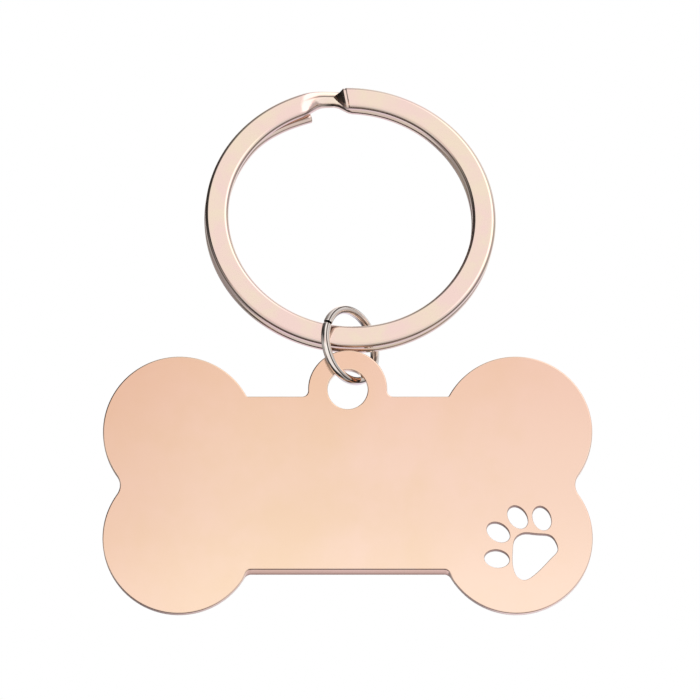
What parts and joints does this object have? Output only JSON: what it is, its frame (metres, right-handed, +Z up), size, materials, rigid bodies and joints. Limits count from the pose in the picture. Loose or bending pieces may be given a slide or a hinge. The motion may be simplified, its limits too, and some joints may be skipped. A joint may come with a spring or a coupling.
{
  "type": "pet id tag",
  "caption": "Flat bone-shaped pet tag with a paw cut-out and a hanging ear, on a jump ring and a flat-wire split ring that clips to a collar.",
  "frame": {"origin": "middle of the split ring, where a collar's own ring or a finger passes through it", "axes": "+Z up with the tag hanging below, +X to the right across the bone, the plate's front faces -Y"},
  "size_m": [0.05, 0.0126, 0.0566],
  "materials": {
    "polished_plate": "mirror-polished stainless steel with a rose-gold plating, fine wipe marks",
    "flat_wire": "polished rose-gold plated steel flat wire, softly drawn along its length",
    "round_wire": "polished rose-gold plated steel round wire"
  },
  "bodies": {
    "collar_ring": {"split_ring": "flat_wire"},
    "link": {"jump_ring": "round_wire"},
    "tag": {"tag_plate": "polished_plate"}
  },
  "joints": [
    {"name": "link_swing", "type": "hinge", "parent": "collar_ring", "child": "link", "pos_m": [0, -0.0044, -0.0132], "axis": [1, 0, 0], "range_deg": [-90, 12]},
    {"name": "tag_rock", "type": "hinge", "parent": "link", "child": "tag", "pos_m": [-0.00026, -0.00485, -0.01873], "axis": [0, 1, 0], "range_deg": [-20, 20]}
  ]
}
